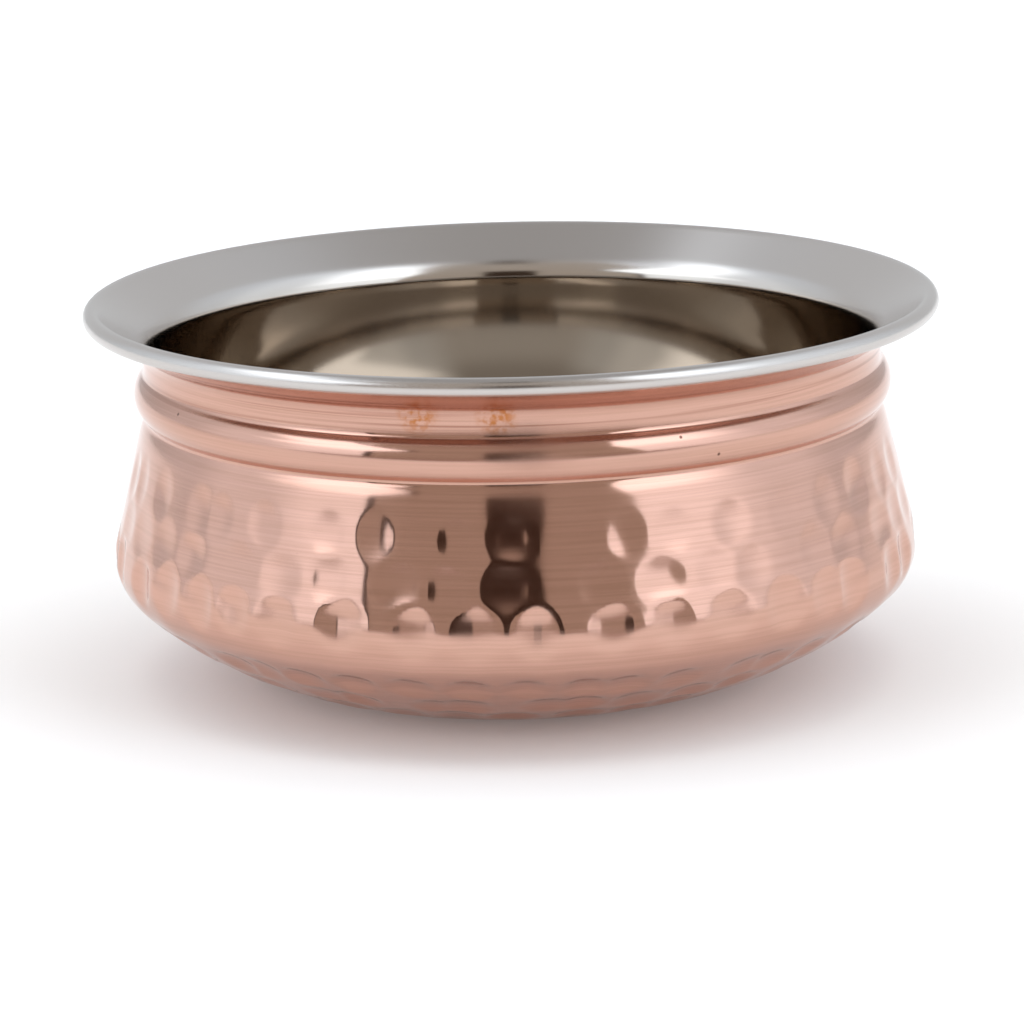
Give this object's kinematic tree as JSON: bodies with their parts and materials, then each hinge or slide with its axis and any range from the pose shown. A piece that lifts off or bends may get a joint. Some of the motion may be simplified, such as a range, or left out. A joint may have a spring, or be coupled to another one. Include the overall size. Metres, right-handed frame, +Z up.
{
  "type": "hammered copper bowl",
  "caption": "Round double-walled serving bowl: a steel bowl with a flared, rolled rim hangs inside a hammered copper shell with a beaded neck and a dished bottom.",
  "frame": {"origin": "centre of the flat underside, on the table", "axes": "+Z up along the bowl's axis of symmetry; X and Y in the plane of the table"},
  "size_m": [0.15, 0.15, 0.0674],
  "materials": {
    "stainless_steel": "satin flare and rolled rim, mirror-polished inside",
    "copper": "hammered copper, polished and lacquered, with fine turning lines and a few small tarnish spots"
  },
  "bodies": {
    "root": {"steel_bowl": "stainless_steel", "copper_shell": "copper"}
  },
  "joints": []
}
